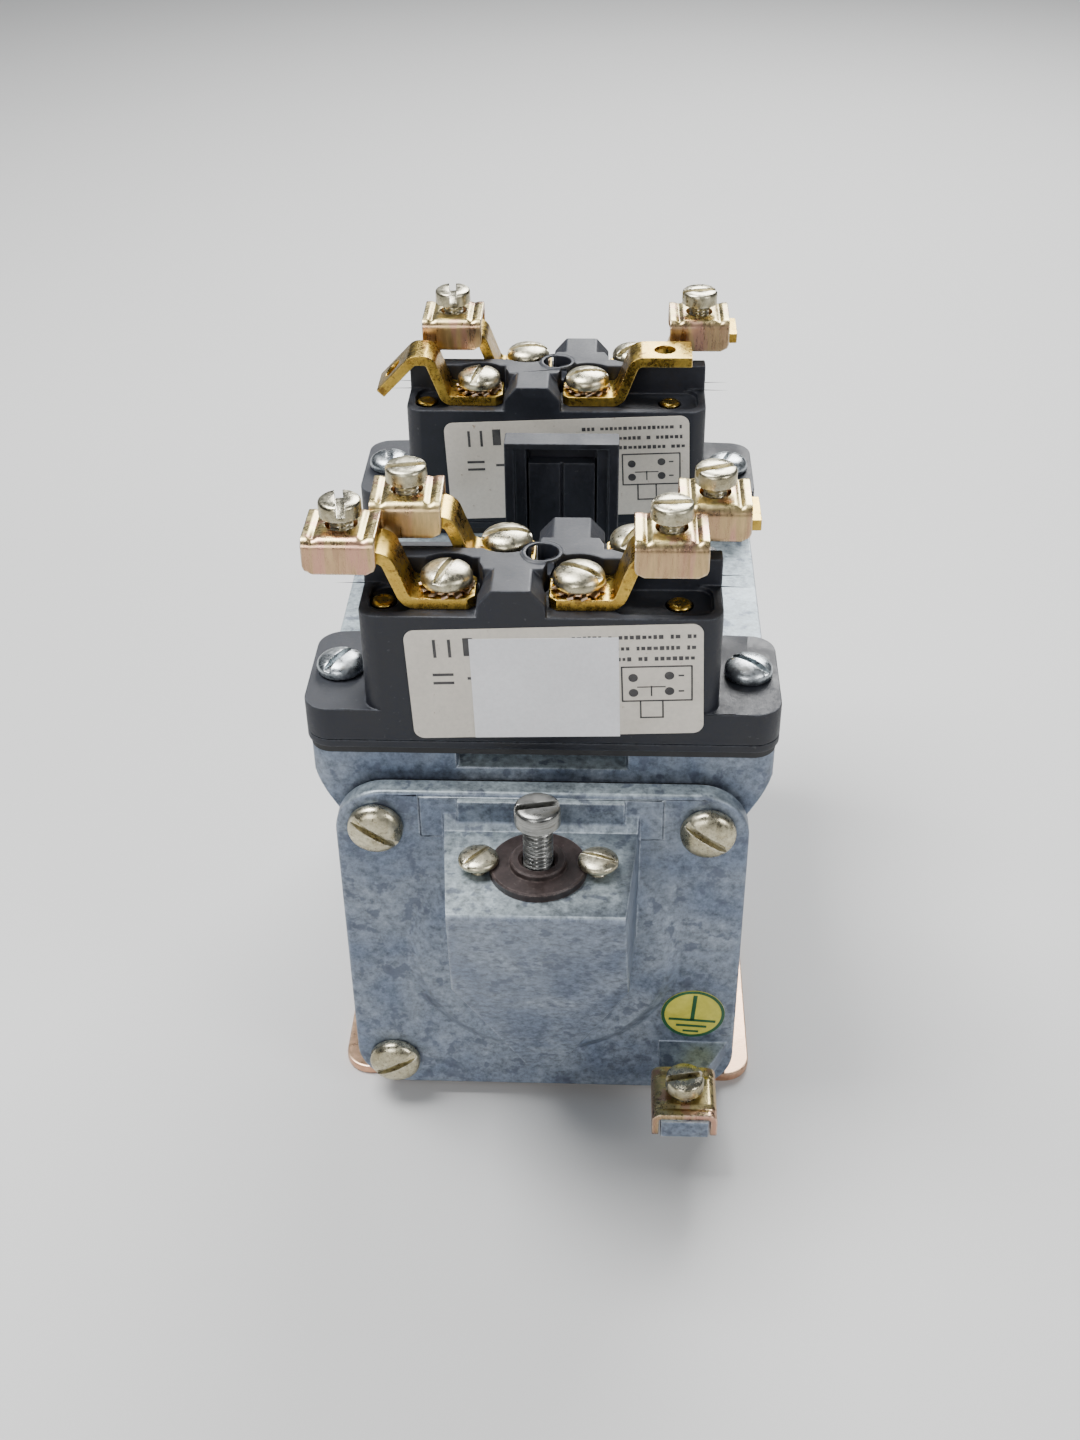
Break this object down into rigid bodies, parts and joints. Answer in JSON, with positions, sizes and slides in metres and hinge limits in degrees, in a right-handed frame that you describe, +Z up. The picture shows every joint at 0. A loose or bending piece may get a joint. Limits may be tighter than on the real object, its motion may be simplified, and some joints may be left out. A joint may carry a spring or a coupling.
{
  "type": "industrial control relay",
  "caption": "Zinc-cased electromagnetic control relay with two black contact blocks, brass screw terminals, an adjusting screw on a front bracket, an earth clamp and a base plate.",
  "frame": {"origin": "centre of the mounting plate's underside", "axes": "+Z up out of the mounting plate, -Y towards the front cover, +X to the right seen from the front"},
  "size_m": [0.079, 0.1264, 0.1226],
  "materials": {
    "zinc_casting": "die-cast zinc, bluish, matte",
    "chromated_steel": "zinc plated, yellow passivated",
    "plated_steel": "bright zinc plated",
    "spring_steel": "drawn wire",
    "soft_iron": "plain iron",
    "brass": "stamped brass",
    "copper_wire": "enamelled copper wire",
    "black_thermoset": "black thermoset moulding",
    "brown_phenolic": "brown phenolic",
    "nylon": "natural nylon",
    "black_rubber": "black gasket rubber",
    "cream_label": "cream label",
    "white_sticker": "white sticker",
    "earth_sticker": "yellow and green sticker"
  },
  "bodies": {
    "root": {"bias_spring": "spring_steel", "block_base_plates": "black_thermoset", "block_gaskets": "black_rubber", "block_labels": "cream_label", "bush_screws": "plated_steel", "coil_bobbin": "nylon", "coil_winding": "copper_wire", "cover_gasket": "black_rubber", "cover_screws": "chromated_steel", "earth_sticker": "earth_sticker", "fixed_contacts": "brass", "fixed_core": "soft_iron", "flange_screws": "plated_steel", "frame_screws": "plated_steel", "front_block_case": "black_thermoset", "front_cover": "zinc_casting", "front_strip_1": "brass", "front_strip_2": "brass", "front_strip_3": "brass", "front_strip_4": "brass", "guide_frame": "black_thermoset", "lead_grommet": "black_rubber", "lever_pin": "spring_steel", "mounting_plate": "chromated_steel", "plate_screws": "plated_steel", "rear_block_case": "black_thermoset", "rear_strip_1": "brass", "rear_strip_2": "brass", "rear_strip_3": "brass", "rear_strip_4": "brass", "return_spring": "spring_steel", "setting_bush": "brown_phenolic", "star_washers": "spring_steel", "stock_sticker": "white_sticker", "terminal_screws": "chromated_steel", "yoke": "soft_iron", "zinc_body": "zinc_casting"},
    "armature": {"armature_plunger": "soft_iron", "drive_bar": "black_thermoset", "front_carrier": "brown_phenolic", "rear_carrier": "brown_phenolic", "contact_bridges": "brass", "contact_springs": "spring_steel"},
    "lever": {"lever": "plated_steel"},
    "setting_seat": {"spring_seat": "brass"},
    "setting_screw": {"setting_screw": "plated_steel"},
    "front_saddle_1": {"front_saddle_1": "chromated_steel"},
    "front_clamp_screw_1": {"front_clamp_screw_1": "chromated_steel"},
    "front_saddle_2": {"front_saddle_2": "chromated_steel"},
    "front_clamp_screw_2": {"front_clamp_screw_2": "chromated_steel"},
    "front_saddle_3": {"front_saddle_3": "chromated_steel"},
    "front_clamp_screw_3": {"front_clamp_screw_3": "chromated_steel"},
    "front_saddle_4": {"front_saddle_4": "chromated_steel"},
    "front_clamp_screw_4": {"front_clamp_screw_4": "chromated_steel"},
    "rear_saddle_3": {"rear_saddle_3": "chromated_steel"},
    "rear_clamp_screw_3": {"rear_clamp_screw_3": "chromated_steel"},
    "rear_saddle_4": {"rear_saddle_4": "chromated_steel"},
    "rear_clamp_screw_4": {"rear_clamp_screw_4": "chromated_steel"},
    "earth_saddle": {"earth_saddle": "chromated_steel"},
    "earth_clamp_screw": {"earth_clamp_screw": "plated_steel"}
  },
  "joints": [
    {"name": "armature_slide", "type": "slide", "parent": "root", "child": "armature", "axis": [0, 0, 1], "range_m": [0, 0.003], "stiffness_N_per_m": 300, "springref_m": -0.004, "deforming": ["return_spring"]},
    {"name": "lever_swing", "type": "hinge", "parent": "root", "child": "lever", "pos_m": [0, -0.045, 0.0533], "axis": [1, 0, 0], "range_deg": [0, 6.86]},
    {"name": "setting_travel", "type": "slide", "parent": "root", "child": "setting_seat", "axis": [0, 0, 1], "range_m": [-0.0024, 0.0008], "deforming": ["bias_spring"]},
    {"name": "setting_turn", "type": "hinge", "parent": "setting_seat", "child": "setting_screw", "pos_m": [0, -0.0651, 0.0669], "axis": [0, 0, 1], "range_deg": [-1081, 361]},
    {"name": "front_clamp_1_travel", "type": "slide", "parent": "root", "child": "front_saddle_1", "axis": [0, 0, 1], "range_m": [-0.00163, 0]},
    {"name": "front_clamp_1_turn", "type": "hinge", "parent": "front_saddle_1", "child": "front_clamp_screw_1", "pos_m": [-0.0311, -0.0431, 0.1183], "axis": [0, 0, 1], "range_deg": [-841, 0]},
    {"name": "front_clamp_2_travel", "type": "slide", "parent": "root", "child": "front_saddle_2", "axis": [0, 0, 1], "range_m": [-0.00163, 0]},
    {"name": "front_clamp_2_turn", "type": "hinge", "parent": "front_saddle_2", "child": "front_clamp_screw_2", "pos_m": [0.0204, -0.0431, 0.1183], "axis": [0, 0, 1], "range_deg": [-841, 0]},
    {"name": "front_clamp_3_travel", "type": "slide", "parent": "root", "child": "front_saddle_3", "axis": [0, 0, 1], "range_m": [-0.00163, 0]},
    {"name": "front_clamp_3_turn", "type": "hinge", "parent": "front_saddle_3", "child": "front_clamp_screw_3", "pos_m": [-0.022, -0.0314, 0.1183], "axis": [0, 0, 1], "range_deg": [-841, 0]},
    {"name": "front_clamp_4_travel", "type": "slide", "parent": "root", "child": "front_saddle_4", "axis": [0, 0, 1], "range_m": [-0.00163, 0]},
    {"name": "front_clamp_4_turn", "type": "hinge", "parent": "front_saddle_4", "child": "front_clamp_screw_4", "pos_m": [0.0276, -0.0314, 0.1183], "axis": [0, 0, 1], "range_deg": [-841, 0]},
    {"name": "rear_clamp_3_travel", "type": "slide", "parent": "root", "child": "rear_saddle_3", "axis": [0, 0, 1], "range_m": [-0.00163, 0]},
    {"name": "rear_clamp_3_turn", "type": "hinge", "parent": "rear_saddle_3", "child": "rear_clamp_screw_3", "pos_m": [-0.0206, 0.0431, 0.1183], "axis": [0, 0, 1], "range_deg": [-841, 0]},
    {"name": "rear_clamp_4_travel", "type": "slide", "parent": "root", "child": "rear_saddle_4", "axis": [0, 0, 1], "range_m": [-0.00163, 0]},
    {"name": "rear_clamp_4_turn", "type": "hinge", "parent": "rear_saddle_4", "child": "rear_clamp_screw_4", "pos_m": [0.0276, 0.0431, 0.1183], "axis": [0, 0, 1], "range_deg": [-841, 0]},
    {"name": "earth_clamp_travel", "type": "slide", "parent": "root", "child": "earth_saddle", "axis": [0, 0, 1], "range_m": [0, 0.00163]},
    {"name": "earth_clamp_turn", "type": "hinge", "parent": "earth_saddle", "child": "earth_clamp_screw", "pos_m": [0.0255, -0.06635, 0.01685], "axis": [0, 0, 1], "range_deg": [0, 841]}
  ],
  "couplings": [
    {"joint": "lever_swing", "follows": "armature_slide", "rad_per_m": 38.168},
    {"joint": "setting_turn", "follows": "setting_travel", "rad_per_m": 7854},
    {"joint": "front_clamp_1_turn", "follows": "front_clamp_1_travel", "rad_per_m": 8976},
    {"joint": "front_clamp_2_turn", "follows": "front_clamp_2_travel", "rad_per_m": 8976},
    {"joint": "front_clamp_3_turn", "follows": "front_clamp_3_travel", "rad_per_m": 8976},
    {"joint": "front_clamp_4_turn", "follows": "front_clamp_4_travel", "rad_per_m": 8976},
    {"joint": "rear_clamp_3_turn", "follows": "rear_clamp_3_travel", "rad_per_m": 8976},
    {"joint": "rear_clamp_4_turn", "follows": "rear_clamp_4_travel", "rad_per_m": 8976},
    {"joint": "earth_clamp_turn", "follows": "earth_clamp_travel", "rad_per_m": 8976}
  ]
}
